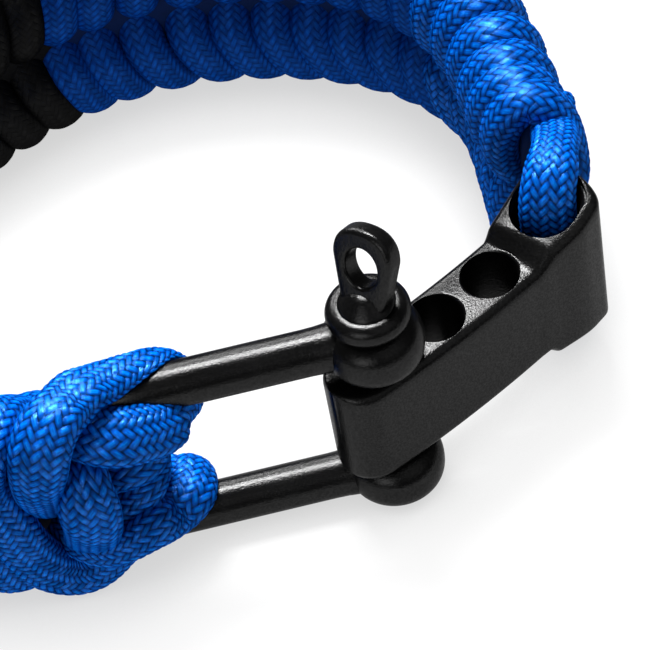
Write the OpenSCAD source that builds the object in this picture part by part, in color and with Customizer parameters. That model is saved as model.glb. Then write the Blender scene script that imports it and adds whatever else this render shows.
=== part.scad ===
// Woven cord bracelet closed by a bow shackle and a curved adjuster bar.
// Millimetres. It lies flat as a closed loop round the wrist: +Z is up, along
// the hollow that the wrist goes through, and +X runs along the loop's long way.

/* [Shackle] */
// Rod diameter of the shackle
rod_d = 4; // [3.6:0.1:4.4]
// Height between the centres of the two legs
leg_gap = 17.3; // [17.1:0.1:17.5]
// Straight length of a leg, from the pin to the start of the bow
leg_len = 19.5; // [18:0.5:20]
// Angle by which the shackle turns outwards at the pin
leg_turn = 2.4; // [0:0.2:4]
// Outer diameter of the two eyes, small enough to leave the next hole's mouth open
eye_d = 8.1; // [7.8:0.1:8.2]

/* [Pin] */
// Diameter of the screw pin
pin_d = 4; // [3.6:0.1:4]
// Outer diameter of the pin's round collar
collar_d = 7.2; // [6.8:0.1:7.4]
// Thickness of the flat eye on top of the pin
tab_t = 2; // [1.6:0.1:2.4]
// Turn of the flat eye about the pin
tab_turn = -43; // [-90:1:90]
// Lean of the flat eye over its back
tab_tilt = 19; // [0:1:20]
// Lean of the flat eye to one side
tab_side = -5; // [-5:0.5:5]

/* [Adjuster bar] */
// Height of the bar's narrow stretch
bar_h = 11.4; // [11:0.1:11.6]
// Thickness of the bar
bar_t = 6.5; // [6.2:0.1:6.8]
// Diameter of the adjusting holes
hole_d = 5; // [4.6:0.1:5]
// Distance between the adjusting holes, along the bar
hole_pitch = 6.33; // [6.2:0.01:6.5]
// Diameter of the hole that the cord goes through
cord_hole_d = 5.6; // [5.4:0.1:5.8]

/* [Band] */
// Length of band that one wrap takes
wrap = 4.12; // [4:0.02:4.2]
// Number of wraps in the blue stretch beside the bar
wraps_bar_side = 16; // [16:1:16]
// Number of wraps in the black middle stretch
wraps_middle = 7; // [6:1:8]
// Half the band's thickness
band_a = 4.4; // [4.2:0.1:4.6]
// Half the height of one row of wraps
band_b = 5.9; // [5.8:0.1:6]
// Height of a row's centre above the band's middle
row_z = 5.2; // [5.1:0.1:5.2]
// Depth of the groove between two wraps, as a share of the thickness
groove = 0.09; // [0:0.01:0.12]

/* [Hidden] */
$fn = 48;

// The pin's axis, and the height of the bar's middle above the surface
pin_x = 19;
pin_y = -25;
mid_z = 11.1;

gap = 0.12;
rod_r = rod_d / 2;
leg_z = leg_gap / 2;
eye_r = eye_d / 2;
eye_top = 11.0;
eye_low = bar_h / 2 + gap;

// A route is a start, a heading and rows of arcs, each a length and a turn.
LEN = 0;
TURN = 1;
function route_len(rows, i = 0) =
    i >= len(rows) ? 0 : rows[i][LEN] + route_len(rows, i + 1);
// Where the route is at length s: [x, y, heading]
function chord(L, t, s) =
    abs(t) < 0.001 ? [s, 0]
    : let (R = L / (t * PI / 180), a = t * s / L) [R * sin(a), R * (1 - cos(a))];
function walk(rows, x, y, h, s, i = 0) =
    let (L = rows[i][LEN], t = rows[i][TURN], last = i >= len(rows) - 1,
         d = (s <= L || last) ? s : L, c = chord(L, t, d),
         nx = x + c[0] * cos(h) - c[1] * sin(h),
         ny = y + c[0] * sin(h) + c[1] * cos(h),
         nh = h + t * d / L)
    (s <= L || last) ? [nx, ny, nh] : walk(rows, nx, ny, nh, s - L, i + 1);

// Joins rings of equal count into one closed skin, with a flat cap at each end
module skin(rings) {
    n = len(rings[0]);
    m = len(rings);
    polyhedron(
        points = [for (r = rings) for (p = r) p],
        faces = concat(
            [[for (i = [0 : n - 1]) i]],
            [for (j = [0 : m - 2]) for (i = [0 : n - 1]) let (k = (i + 1) % n)
                [j * n + i, (j + 1) * n + i, (j + 1) * n + k]],
            [for (j = [0 : m - 2]) for (i = [0 : n - 1]) let (k = (i + 1) % n)
                [j * n + i, (j + 1) * n + k, j * n + k]],
            [[for (i = [n - 1 : -1 : 0]) (m - 1) * n + i]]),
        convexity = 6);
}

// ---- Adjuster bar ----

// The bar's route: nearly straight, then a bend into the taller end
bar_start = -5;
BAR = [[20, 9], [1.5, 10.5], [7.2, 0]];
bar_end = bar_start + route_len(BAR);
bar_heading = 28.5;
// Start of the route, found by going back from the pin along the first arc
bar_back = let (t = BAR[0][TURN] * bar_start / BAR[0][LEN],
                c = chord(BAR[0][LEN], BAR[0][TURN], bar_start))
    [c[0] * cos(bar_heading) - c[1] * sin(bar_heading),
     c[0] * sin(bar_heading) + c[1] * cos(bar_heading), bar_heading + t];
function bar_at(u) = walk(BAR, bar_back[0], bar_back[1], bar_back[2], u - bar_start);

// Half height of the bar along its length: u, half height
BAR_PROFILE = [
    [-5, bar_h / 2], [15, bar_h / 2], [15.4, bar_h / 2 + 0.1],
    [16.2, bar_h / 2 + 1.0], [16.7, bar_h / 2 + 1.2], [bar_end, bar_h / 2 + 2.1]];
function half_h(u) = lookup(u, BAR_PROFILE);
// The ends round off in plan with this radius
end_r = 1.9;
function end_in(d) = d >= end_r ? 0 : end_r - sqrt(end_r * end_r - (end_r - d) * (end_r - d));
edge_r = 0.9;
function bar_ring(u) =
    let (p = bar_at(u), d = min(u - bar_start, bar_end - u),
         e = end_in(max(d, 0)), a = bar_t / 2 - e, b = half_h(u) - e * 0.35,
         r = min(edge_r, a * 0.9))
    [for (q = [0 : 3]) for (k = [0 : 4])
        let (an = q * 90 + k * 22.5, cx = (q == 0 || q == 3 ? 1 : -1) * (a - r),
             cz = (q < 2 ? 1 : -1) * (b - r),
             w = cx + r * cos(an), z = cz + r * sin(an))
        [p[0] - w * sin(p[2]), p[1] + w * cos(p[2]), z]];
bar_stations = concat(
    [for (k = [0 : 5]) bar_start + end_r * (1 - cos(k * 18))],
    [0, 5, 10, 13, 15, 15.4, 15.8, 16.2, 16.45, 16.7, 19.5],
    [for (k = [5 : -1 : 0]) bar_end - end_r * (1 - cos(k * 18))]);

hole_u = [0, hole_pitch, 2 * hole_pitch, 20];
module bar_hole(i, d) {
    p = bar_at(hole_u[i]);
    translate([p[0], p[1], -12]) cylinder(d = d, h = 24);
    if (i < 3) for (s = [-1, 1])
        translate([p[0], p[1], s * (bar_h / 2 - 0.15)])
            cylinder(h = 0.6, center = true,
                     d1 = d + (s < 0 ? 0.9 : -0.3), d2 = d + (s > 0 ? 0.9 : -0.3));
}
module adjuster_bar() {
    color("#202022") place() difference() {
        skin([for (u = bar_stations) bar_ring(u)]);
        for (i = [0 : 2]) bar_hole(i, hole_d);
        bar_hole(3, cord_hole_d);
    }
}

// ---- Shackle ----

// Round eye: outer edge well rounded, the side against the bar less so
module eye(bore) {
    r_out = 1.5;
    r_in = 1.1;
    rotate_extrude() difference() {
        union() {
            translate([0, eye_low + r_in]) square([eye_r, eye_top - eye_low - r_in - r_out]);
            translate([0, eye_low]) square([eye_r - r_in, eye_top - eye_low]);
            translate([0, eye_low + r_in]) square([eye_r - r_out, eye_top - eye_low - r_in]);
            translate([eye_r - r_in, eye_low + r_in]) circle(r = r_in);
            translate([eye_r - r_out, eye_top - r_out]) circle(r = r_out);
        }
        translate([-10, 0]) square([10 + bore / 2, 20]);
    }
}
module bow_route(r) {
    for (s = [-1, 1]) translate([0, 0, s * leg_z]) rotate([0, -90, 0])
        translate([0, 0, 2.6]) cylinder(r = r, h = leg_len - 2.6);
    translate([-leg_len, 0, 0]) rotate([90, 0, 0]) rotate([0, 0, 90])
        rotate_extrude(angle = 180) translate([leg_z, 0]) circle(r = r);
}
module shackle_bow() {
    color("#1c1c1e") place() rotate([0, 0, leg_turn]) difference() {
        union() {
            eye(pin_d + 0.6);
            mirror([0, 0, 1]) eye(pin_d + 0.1);
            bow_route(rod_r);
        }
        translate([0, 0, 0]) cylinder(d = pin_d + 0.6, h = 12);
        translate([0, 0, -12]) cylinder(d = pin_d + 0.1, h = 12);
    }
}

// ---- Pin ----

ring_r = 1.1;
ring_z = eye_top + gap + ring_r;
tab_low = 13.2;
tab_w_low = 4.1;
tab_r = 2.8;
tab_top = 20.4;
tab_hole_z = 16.85;
tab_hole_r = 1.55;
tab_hole_e = 0.3;
neck_d = 4.8;
module tab_outline() {
    cz = tab_top - tab_r;
    difference() {
        union() {
            translate([0, cz]) circle(r = tab_r);
            polygon([[-tab_w_low / 2, tab_low], [tab_w_low / 2, tab_low],
                     [tab_r * cos(-8), cz + tab_r * sin(-8)],
                     [-tab_r * cos(-8), cz + tab_r * sin(-8)]]);
        }
        for (s = [-1, 1]) translate([0, tab_hole_z + s * tab_hole_e]) circle(r = tab_hole_r);
        translate([-tab_hole_r, tab_hole_z - tab_hole_e]) square([2 * tab_hole_r, 2 * tab_hole_e]);
    }
}
module shackle_pin() {
    color("#1c1c1e") place() {
        union() {
            translate([0, 0, -10.8]) cylinder(d = pin_d, h = 10.8 + ring_z);
            translate([0, 0, -10.9]) cylinder(d1 = pin_d - 0.8, d2 = pin_d, h = 0.4);
            rotate_extrude() translate([collar_d / 2 - ring_r, ring_z]) circle(r = ring_r);
            translate([0, 0, ring_z - ring_r]) cylinder(d = collar_d - 2 * ring_r, h = ring_r + 0.3);
            translate([0, 0, ring_z]) cylinder(d = neck_d, h = 13.4 - ring_z);
            translate([0, 0, 13.4]) cylinder(d1 = neck_d, d2 = neck_d - 2, h = 0.8);
            translate([0, 0, 13]) rotate([0, 0, tab_turn]) rotate([-tab_tilt, 0, 0])
                rotate([0, tab_side, 0]) translate([0, 0, -13]) rotate([90, 0, 0])
                    linear_extrude(height = tab_t, center = true) tab_outline();
        }
    }
}

// ---- Band ----

// The band's middle line, from the bar round the back to the shackle.
// The first nine rows are the stretch that shows; the rest is the plain way round.
BAND = [[7, 1.5], [8, 9], [8, 21], [8, 20.5], [8, 14.5], [8, 12.5], [8, 11.5],
        [8, 14], [8, 14.5], [22, 8], [53.17, 143], [3, 0]];
band_x = 17.9;
band_y = 17.2;
band_h0 = 90;
band_len = route_len(BAND);
function band_at(s) = walk(BAND, band_x, band_y, band_h0, s);

// Outline of two rows of wraps, one above the other, at share k of full size
function row_arc(k) = asin(min(0.97, row_z / (band_b * k)));
function band_ring(s, k) =
    let (p = band_at(s), t = row_arc(k), n = 8)
    [for (row = [0, 1]) for (i = [0 : n - 1])
        let (an = row * 180 - t + i * (180 + 2 * t) / n,
             w = band_a * k * cos(an),
             z = (row == 0 ? 1 : -1) * row_z + band_b * k * sin(an))
        [p[0] - w * sin(p[2]), p[1] + w * cos(p[2]), z]];
// A stretch of band from s0, with n wraps of length L; full in each wrap's
// middle and drawn in between two wraps
module stretch(s0, n, L) {
    rings = concat(
        [band_ring(s0 + gap / 2, 1 - groove)],
        [for (i = [0 : n - 1]) each concat(
            [band_ring(s0 + L * (i + 0.5), 1)],
            i < n - 1 ? [band_ring(s0 + L * (i + 1), 1 - groove)] : [])],
        [band_ring(s0 + n * L - gap / 2, 1 - groove)]);
    skin(rings);
}
s_black = wraps_bar_side * wrap;
s_blue = s_black + wraps_middle * wrap;
wraps_rest = 13;
s_end = band_len;
module band_blue_bar_side() {
    color("#1560d0") place() stretch(0, wraps_bar_side, wrap);
}
module band_black_middle() {
    color("#141414") place() stretch(s_black, wraps_middle, wrap);
}
module band_blue_shackle_side() {
    color("#1560d0") place() stretch(s_blue, wraps_rest, (s_end - s_blue) / wraps_rest);
}

// ---- Cord loop through the bar's last hole ----

loop_w = 2.5;
loop_t = 1.55;
loop_z = 9.45;
loop_bend = 3.2;
module bar_loop() {
    h = bar_at(hole_u[3]);
    reach = sqrt(pow(band_x - h[0], 2) + pow(band_y - h[1], 2));
    dir = atan2(band_y - h[1], band_x - h[0]);
    // The run inside the band's end stops at its flat face
    stop = (band_y - gap / 2 - h[1]) / sin(dir);
    up = loop_z - loop_bend;
    // Each row is the distance from the hole, the height, and the slope
    side = concat([[stop, loop_z, 180], [loop_bend, loop_z, 180]],
        [for (a = [20 : 20 : 80]) [loop_bend - loop_bend * sin(a), up + loop_bend * cos(a), 180 + a]],
        [[0, up, 270]]);
    rows = concat(side, [for (i = [len(side) - 1 : -1 : 0])
        [side[i][0], -side[i][1], 540 - side[i][2]]]);
    color("#1560d0") place() skin([for (k = [0 : len(rows) - 1]) let (q = rows[k])
        [for (i = [0 : 11]) let (c = loop_w * cos(i * 30), t = loop_t * sin(i * 30),
             w = (k == 0 || k == len(rows) - 1) ? stop + c * cos(dir) / sin(dir) : q[0] - t * sin(q[2]),
             z = q[1] + t * cos(q[2]))
            [h[0] + w * cos(dir) - c * sin(dir) * -1, h[1] + w * sin(dir) - c * cos(dir), z]]]);
}

// ---- Knot round the shackle's bow ----

// Each lobe is a rounded roll of cord: start, end, centre y and z, radius
X0 = 0;
X1 = 1;
CY = 2;
CZ = 3;
RR = 4;
ROLLS = [[-24.6, -22, -1, 6.6, 5.6], [-24.6, -21.2, -1.3, -5.7, 5.4],
         [-26, -24, -1.4, 0.4, 5.2], [-22, -19, 0, 8.6, 3.9], [-22, -18.6, -0.6, -6.9, 4.1]];
module shackle_knot() {
    face = band_at(band_len)[0] + gap / 2;
    color("#1560d0") place() difference() {
        union() for (q = ROLLS) {
            translate([face, q[CY], q[CZ]]) rotate([0, 90, 0]) cylinder(r = q[RR], h = q[X1] - face);
            translate([q[X1], q[CY], q[CZ]]) sphere(r = q[RR]);
        }
        rotate([0, 0, leg_turn]) bow_route(rod_r + 0.15);
    }
}

module place() {
    translate([pin_x, pin_y, mid_z]) children();
}

adjuster_bar();
shackle_bow();
shackle_pin();
bar_loop();
band_blue_bar_side();
band_black_middle();
band_blue_shackle_side();
shackle_knot();
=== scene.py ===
import math

import bpy
import numpy as np
from mathutils import Matrix, Vector


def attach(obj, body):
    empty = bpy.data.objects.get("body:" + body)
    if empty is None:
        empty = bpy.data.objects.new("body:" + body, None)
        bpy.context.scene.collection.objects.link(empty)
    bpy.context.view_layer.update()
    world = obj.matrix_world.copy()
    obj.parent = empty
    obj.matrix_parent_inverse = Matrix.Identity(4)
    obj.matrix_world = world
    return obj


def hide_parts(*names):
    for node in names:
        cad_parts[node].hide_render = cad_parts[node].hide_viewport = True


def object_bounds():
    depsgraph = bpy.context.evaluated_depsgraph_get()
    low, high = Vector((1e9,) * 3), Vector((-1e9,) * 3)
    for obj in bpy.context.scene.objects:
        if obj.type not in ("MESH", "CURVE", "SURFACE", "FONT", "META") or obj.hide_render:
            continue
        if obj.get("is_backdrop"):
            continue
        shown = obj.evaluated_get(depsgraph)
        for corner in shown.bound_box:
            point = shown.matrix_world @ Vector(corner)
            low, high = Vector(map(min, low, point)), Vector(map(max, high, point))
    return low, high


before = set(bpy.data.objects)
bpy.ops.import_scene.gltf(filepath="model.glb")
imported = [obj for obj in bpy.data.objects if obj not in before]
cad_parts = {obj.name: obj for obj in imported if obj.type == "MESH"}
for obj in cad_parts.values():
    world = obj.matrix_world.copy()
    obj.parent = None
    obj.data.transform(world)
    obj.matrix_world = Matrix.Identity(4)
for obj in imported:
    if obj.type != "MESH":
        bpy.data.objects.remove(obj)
bounds_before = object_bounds()

# Everything below is in millimetres in the fit frame (pin's axis at x = y = 0, middle of the bar at z = 0);
# to_row turns it into the row's frame in metres.
OFFSET = np.array([19.0, -25.0, 11.1])


def to_row(p):
    return (np.asarray(p, float) + OFFSET) * 0.001


# ---------------------------------------------------------------- routes

def chord(L, t, s):
    if abs(t) < 1e-3:
        return s, 0.0
    R = L / math.radians(t)
    a = math.radians(t * s / L)
    return R * math.sin(a), R * (1 - math.cos(a))


def walk(rows, x, y, h, s):
    for i, (L, t) in enumerate(rows):
        last = i == len(rows) - 1
        d = s if (s <= L or last) else L
        c = chord(L, t, d)
        hr = math.radians(h)
        x, y = x + c[0] * math.cos(hr) - c[1] * math.sin(hr), y + c[0] * math.sin(hr) + c[1] * math.cos(hr)
        h = h + t * d / L
        if s <= L or last:
            return x, y, h
        s -= L


BAND = [(7, 1.5), (8, 9), (8, 21), (8, 20.5), (8, 14.5), (8, 12.5), (8, 11.5), (8, 14), (8, 14.5), (22, 8), (53.17, 143), (3, 0)]
BAND_LENGTH = 149.17


def band_at(s):
    if s < 0:
        return 17.9, 17.2 + s, 90.0
    return walk(BAND, 17.9, 17.2, 90.0, s)


def band_point(s, w, z):
    """The place at arc length s of the band, w towards the wrist and z up; also the directions along and across."""
    x, y, h = band_at(s)
    hr = math.radians(h)
    along = np.array([math.cos(hr), math.sin(hr), 0.0])
    across = np.array([-math.sin(hr), math.cos(hr), 0.0])
    return np.array([x, y, 0.0]) + w * across + np.array([0, 0, z]), along, across


# ---------------------------------------------------------------- cord meshes

LANES = 32          # yarn lanes round a cord; each yarn goes over two and under two
RING = 0.35         # mm along the cord for each crossing


def unit(v):
    v = np.asarray(v, float)
    return v / np.maximum(np.linalg.norm(v, axis=-1, keepdims=True), 1e-12)


def spline(P, step):
    """A natural cubic spline through the rows of P (first three columns are the place), sampled every step."""
    P = np.asarray(P, float)
    d = np.sqrt(np.linalg.norm(np.diff(P[:, :3], axis=0), axis=1)) ** 1.4
    t = np.concatenate([[0], np.cumsum(d)])
    n = len(t)
    h = np.diff(t)
    A = np.zeros((n, n))
    B = np.zeros((n, P.shape[1]))
    A[0, 0] = A[-1, -1] = 1
    for i in range(1, n - 1):
        A[i, i - 1] = h[i - 1]
        A[i, i] = 2 * (h[i - 1] + h[i])
        A[i, i + 1] = h[i]
        B[i] = 6 * ((P[i + 1] - P[i]) / h[i] - (P[i] - P[i - 1]) / h[i - 1])
    M = np.linalg.solve(A, B)

    def at(x):
        i = np.clip(np.searchsorted(t, x, side="right") - 1, 0, n - 2)
        a = (t[i + 1] - x)[:, None]
        b = (x - t[i])[:, None]
        hh = h[i][:, None]
        return (M[i] * a**3 / (6 * hh) + M[i + 1] * b**3 / (6 * hh)
                + (P[i] / hh - M[i] * hh / 6) * a + (P[i + 1] / hh - M[i + 1] * hh / 6) * b)

    x = np.linspace(0, t[-1], 60 * n)
    Q = at(x)
    s = np.concatenate([[0], np.cumsum(np.linalg.norm(np.diff(Q[:, :3], axis=0), axis=1))])
    m = max(3, int(round(s[-1] / step)) + 1)
    S = np.linspace(0, s[-1], m)
    return S, at(np.interp(S, s, x))


def section(n, a, b, p):
    """n points round a superellipse, evenly spaced along its edge."""
    f = np.linspace(0, 2 * np.pi, 1441)
    c, s = np.cos(f), np.sin(f)
    x = a * np.sign(c) * np.abs(c) ** (2 / p)
    y = b * np.sign(s) * np.abs(s) ** (2 / p)
    L = np.concatenate([[0], np.cumsum(np.hypot(np.diff(x), np.diff(y)))])
    u = np.arange(n) * L[-1] / n
    return np.interp(u, L, x), np.interp(u, L, y)


def braid_height(U, V):
    """Height of the braid, about -0.3 to 1.2, at lane U and ring V."""
    a, b = (U + V) / 2, (U - V) / 2
    ia, ib = np.round(a), np.round(b)
    wave = lambda x: np.clip(1.3 * np.cos(np.pi * x / 2), -1, 1)
    h1 = 0.38 * wave(ia + b - 0.5) + 0.7 * np.sqrt(np.maximum(0, 1 - np.abs((a - ia) / 0.48) ** 3))
    h2 = -0.38 * wave(a + ib - 0.5) + 0.7 * np.sqrt(np.maximum(0, 1 - np.abs((b - ib) / 0.48) ** 3))
    return np.maximum(h1, h2)


def tube(rows, step, n, amp=0.0, p=2.2, a=2.45, b=1.65, phase=0.0):
    """rows: x y z nx ny nz [half width, half thickness, curl]. Returns verts (R, n, 3) and rings (R)."""
    rows = np.asarray([(list(r) + ([a, b] if len(r) == 6 else []) + [0.0])[:9] for r in rows], float)
    S, Q = spline(rows, step)
    t = unit(np.gradient(Q[:, :3], axis=0))
    N = Q[:, 3:6]
    T = unit(N - (N * t).sum(1)[:, None] * t)
    W = np.cross(t, T)
    cx, cy = section(n, a, b, p)
    X = Q[:, 6:7] / a * cx[None]
    Y = Q[:, 7:8] / b * cy[None]
    cu = Q[:, 8:9]
    Y = Y - cu * X ** 2
    X = X * (1 - 0.5 * (cu * X) ** 2)
    V = Q[:, None, :3] + X[..., None] * W[:, None] + Y[..., None] * T[:, None]
    ring = S / RING + phase
    if amp:
        du = np.roll(V, -1, axis=1) - np.roll(V, 1, axis=1)
        dv = np.gradient(V, axis=0)
        nrm = unit(np.cross(du, dv))
        out = V - Q[:, None, :3]
        nrm = nrm * np.sign((nrm * out).sum(-1, keepdims=True) + 1e-9)
        U = np.arange(n) * LANES / n
        h = braid_height(U[None, :], ring[:, None])
        V = V + (h[..., None] - 0.75) * amp * nrm
    return V, ring


def add_mesh(name, parts, material, smooth=True):
    """parts: list of (verts (R, n, 3) in fit mm, rings) tubes, capped at both ends, joined as one object with UVs in
    lanes and rings.
    """
    verts, faces, uvs = [], [], []
    base = 0
    for V, ring in parts:
        R, n = V.shape[:2]
        verts.append(V.reshape(-1, 3))
        i = np.arange(R - 1)[:, None]
        k = np.arange(n)[None]
        k2 = (k + 1) % n
        q = np.stack([i * n + k, i * n + k2, (i + 1) * n + k2, (i + 1) * n + k], -1).reshape(-1, 4)
        faces.append((q + base))
        U = np.arange(n + 1) * LANES / n
        u = np.stack([np.broadcast_to(U[k], (R - 1, n)), np.broadcast_to(U[k + 1], (R - 1, n)),
                      np.broadcast_to(U[k + 1], (R - 1, n)), np.broadcast_to(U[k], (R - 1, n))], -1)
        v = np.stack([np.broadcast_to(ring[i], (R - 1, n)), np.broadcast_to(ring[i], (R - 1, n)),
                      np.broadcast_to(ring[i + 1], (R - 1, n)), np.broadcast_to(ring[i + 1], (R - 1, n))], -1)
        uvs.append(np.stack([u, v], -1).reshape(-1, 2))
        base += R * n
    verts = to_row(np.concatenate(verts))
    quads = np.concatenate(faces)
    uv = np.concatenate(uvs)
    caps = []
    off = 0
    for V, ring in parts:
        R, n = V.shape[:2]
        caps.append(list(range(off, off + n))[::-1])
        caps.append(list(range(off + (R - 1) * n, off + R * n)))
        off += R * n
    me = bpy.data.meshes.new(name)
    nq = len(quads)
    loops = np.concatenate([quads.reshape(-1)] + [np.array(c) for c in caps])
    starts = list(range(0, nq * 4, 4))
    totals = [4] * nq
    at = nq * 4
    for c in caps:
        starts.append(at)
        totals.append(len(c))
        at += len(c)
    me.vertices.add(len(verts))
    me.vertices.foreach_set("co", verts.astype(np.float32).reshape(-1))
    me.loops.add(len(loops))
    me.loops.foreach_set("vertex_index", loops.astype(np.int32))
    me.polygons.add(len(starts))
    me.polygons.foreach_set("loop_start", np.array(starts, np.int32))
    me.polygons.foreach_set("loop_total", np.array(totals, np.int32))
    me.update(calc_edges=True)
    layer = me.uv_layers.new(name="UVMap")
    full = np.zeros((len(loops), 2), np.float32)
    full[:nq * 4] = uv
    full[nq * 4:] = (1.0, 0.0)      # ends take the painted shade colour of the gaps
    layer.data.foreach_set("uv", full.reshape(-1))
    me.polygons.foreach_set("use_smooth", np.full(len(starts), smooth))
    me.validate()
    # outward normals
    import bmesh
    bm = bmesh.new()
    bm.from_mesh(me)
    bmesh.ops.recalc_face_normals(bm, faces=bm.faces)
    bm.to_mesh(me)
    bm.free()
    ob = bpy.data.objects.new(name, me)
    bpy.context.scene.collection.objects.link(ob)
    me.materials.append(material)
    return ob


# ---------------------------------------------------------------- materials

def nodes_of(name):
    m = bpy.data.materials.new(name)
    m.use_nodes = True
    nt = m.node_tree
    nt.nodes.clear()
    return m, nt


class Net:
    """Small helper to write node maths."""

    def __init__(self, nt):
        self.nt = nt

    def node(self, kind, **props):
        n = self.nt.nodes.new(kind)
        for k, v in props.items():
            setattr(n, k, v)
        return n

    def put(self, socket, v):
        if hasattr(v, "links"):
            self.nt.links.new(v, socket)
        else:
            socket.default_value = v

    def math(self, op, a, b=0.0, c=0.0, clamp=False):
        n = self.node("ShaderNodeMath", operation=op, use_clamp=clamp)
        self.put(n.inputs[0], a)
        self.put(n.inputs[1], b)
        if len(n.inputs) > 2:
            self.put(n.inputs[2], c)
        return n.outputs[0]

    def xyz(self, x, y, z):
        n = self.node("ShaderNodeCombineXYZ")
        for s, v in zip(n.inputs, (x, y, z)):
            self.put(s, v)
        return n.outputs[0]

    def mixf(self, f, a, b):
        n = self.node("ShaderNodeMix", data_type="FLOAT")
        self.put(n.inputs["Factor"], f)
        self.put(n.inputs["A"], a)
        self.put(n.inputs["B"], b)
        return n.outputs["Result"]

    def mixc(self, f, a, b, blend="MIX"):
        n = self.node("ShaderNodeMix", data_type="RGBA", blend_type=blend)
        self.put(n.inputs[0], f)
        self.put(n.inputs[6], a)
        self.put(n.inputs[7], b)
        return n.outputs[2]

    def remap(self, v, a, b, c, d):
        n = self.node("ShaderNodeMapRange", interpolation_type="SMOOTHSTEP")
        for s, x in zip(n.inputs, (v, a, b, c, d)):
            self.put(s, x)
        return n.outputs[0]


def cord_material(name, low, mid, high, bump, rough, spec, sheen, soft=0.0):
    """Braided nylon: U and V of the mesh are lanes and rings. low is a painted shade colour for the gaps between
    floats, high a painted highlight colour for the float crowns, mid the yarn's own colour. bump is the depth in metres
    of the braid where the mesh is plain.
    """
    m, nt = nodes_of(name)
    g = Net(nt)
    uv = g.node("ShaderNodeUVMap", uv_map="UVMap")
    sp = g.node("ShaderNodeSeparateXYZ")
    nt.links.new(uv.outputs[0], sp.inputs[0])
    U, V = sp.outputs[0], sp.outputs[1]
    a = g.math("MULTIPLY", g.math("ADD", U, V), 0.5)
    b = g.math("MULTIPLY", g.math("SUBTRACT", U, V), 0.5)
    ia, ib = g.math("ROUND", a), g.math("ROUND", b)
    fa, fb = g.math("SUBTRACT", a, ia), g.math("SUBTRACT", b, ib)
    pi = math.pi

    def crown(f):
        q = g.math("POWER", g.math("MULTIPLY", g.math("ABSOLUTE", f), 1 / 0.48), 3.0)
        return g.math("MULTIPLY", g.math("SQRT", g.math("MAXIMUM", g.math("SUBTRACT", 1.0, q), 0.0)), 0.7)

    def wave(x):
        c = g.math("MULTIPLY", g.math("COSINE", g.math("MULTIPLY", g.math("SUBTRACT", x, 0.5), pi / 2)), 1.3)
        return g.math("MINIMUM", g.math("MAXIMUM", c, -1.0), 1.0)

    h1 = g.math("ADD", g.math("MULTIPLY", wave(g.math("ADD", ia, b)), 0.38), crown(fa))
    h2 = g.math("ADD", g.math("MULTIPLY", wave(g.math("ADD", a, ib)), -0.38), crown(fb))
    top = g.math("GREATER_THAN", h1, h2)
    h = g.math("MAXIMUM", h1, h2)
    along = g.mixf(top, a, b)
    trans = g.mixf(top, g.math("ADD", g.math("MULTIPLY", fb, 9.0), g.math("MULTIPLY", ib, 5.37)),
                   g.math("ADD", g.math("MULTIPLY", fa, 9.0), g.math("MULTIPLY", ia, 7.13)))
    fibre = g.node("ShaderNodeTexNoise", noise_dimensions="3D")
    fibre.inputs["Scale"].default_value = 1.0
    fibre.inputs["Detail"].default_value = 2.0
    fibre.inputs["Roughness"].default_value = 0.6
    nt.links.new(g.xyz(g.math("MULTIPLY", along, 0.9), trans, g.math("MULTIPLY", top, 31.7)), fibre.inputs["Vector"])
    fib = fibre.outputs["Fac"]
    cell = g.node("ShaderNodeTexWhiteNoise", noise_dimensions="3D")
    nt.links.new(g.xyz(ia, ib, top), cell.inputs["Vector"])
    cellv = cell.outputs["Value"]
    # colour: painted shade darkens the gaps, a painted highlight lightens the crowns, painted sheen lightens one yarn
    # family, and a random tone makes each float a little different
    lift = g.remap(h, 0.5 - 0.6 * soft, 1.05, 0.0, 1.0)
    gap_shaded_colour = g.mixc(lift, low, mid)
    colour_with_painted_highlight = g.mixc(g.math("MULTIPLY", g.math("MULTIPLY", g.remap(h, 0.98, 1.08, 0.0, 1.0), g.remap(fib, 0.36, 0.6, 0.0, 1.0)), 0.9 - 0.5 * soft), gap_shaded_colour, high)
    # painted sheen: floats of one yarn family are made lighter, standing in for the shine of their fibres; the white
    # noise and fibre terms are random tone
    tone_and_painted_sheen = g.math("ADD", g.math("ADD", 0.68, g.math("MULTIPLY", top, 0.28)), g.math("MULTIPLY", cellv, 0.42 - 0.5 * soft))
    tone_and_painted_sheen = g.math("MULTIPLY", tone_and_painted_sheen, g.math("ADD", 0.8, g.math("MULTIPLY", fib, 0.4)))
    cc = g.node("ShaderNodeCombineColor")
    for s in cc.inputs[:3]:
        nt.links.new(tone_and_painted_sheen, s)
    col = g.mixc(1.0, colour_with_painted_highlight, cc.outputs[0], blend="MULTIPLY")
    hh = g.math("ADD", g.math("MULTIPLY", h, bump), g.math("MULTIPLY", fib, 0.00004))
    bp = g.node("ShaderNodeBump")
    bp.inputs["Strength"].default_value = 1.0
    bp.inputs["Distance"].default_value = 1.0
    nt.links.new(hh, bp.inputs["Height"])
    # dyed nylon: the shine takes the yarn's colour
    df = g.node("ShaderNodeBsdfDiffuse")
    nt.links.new(col, df.inputs["Color"])
    nt.links.new(bp.outputs[0], df.inputs["Normal"])
    gl = g.node("ShaderNodeBsdfGlossy")
    gl.inputs["Color"].default_value = sheen
    gl.inputs["Roughness"].default_value = rough
    nt.links.new(bp.outputs[0], gl.inputs["Normal"])
    mx = g.node("ShaderNodeMixShader")
    glint = g.mixf(min(1.0, 2 * soft), g.math("ADD", 0.45, g.math("MULTIPLY", g.math("POWER", cellv, 2.0), 1.6)), 1.0)
    nt.links.new(g.math("MULTIPLY", glint, spec), mx.inputs[0])
    nt.links.new(df.outputs[0], mx.inputs[1])
    nt.links.new(gl.outputs[0], mx.inputs[2])
    out = g.node("ShaderNodeOutputMaterial")
    nt.links.new(mx.outputs[0], out.inputs[0])
    return m


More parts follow.
